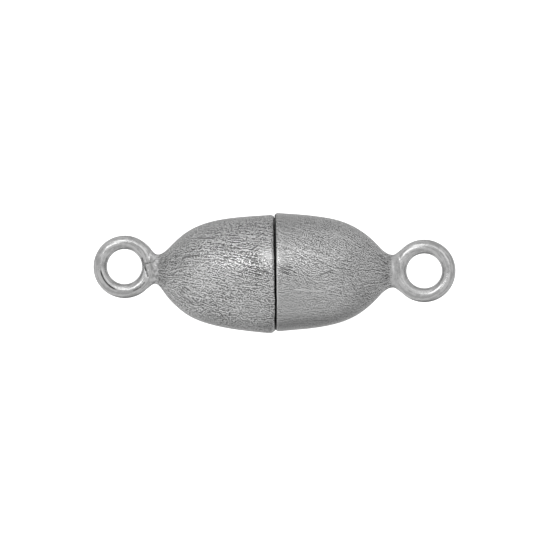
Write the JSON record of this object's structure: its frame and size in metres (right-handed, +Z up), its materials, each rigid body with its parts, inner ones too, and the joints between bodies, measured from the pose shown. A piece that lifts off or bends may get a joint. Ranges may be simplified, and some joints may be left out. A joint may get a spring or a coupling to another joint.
{
  "type": "magnetic jewellery clasp",
  "caption": "Olive-shaped magnetic clasp for a necklace or bracelet: two brushed half shells that meet rim to rim, each with a disc magnet inside and a round wire eye at its tip.",
  "frame": {"origin": "on the surface that the clasp lies on, under the middle of its seam", "axes": "+X along the clasp towards the right eye, +Z up through the flat eyes, +Y across the clasp"},
  "size_m": [0.0245, 0.0082, 0.008],
  "materials": {
    "brushed_silver": "brushed lengthwise, eyes and necks smooth satin",
    "magnet_plating": "bright nickel plating"
  },
  "bodies": {
    "left_half": {"left_cup": "brushed_silver", "left_magnet": "magnet_plating"},
    "right_half": {"right_cup": "brushed_silver", "right_magnet": "magnet_plating"}
  },
  "joints": [
    {"name": "pull_apart", "type": "slide", "parent": "left_half", "child": "right_half", "axis": [1, 0, 0], "range_m": [0, 0.01]}
  ]
}
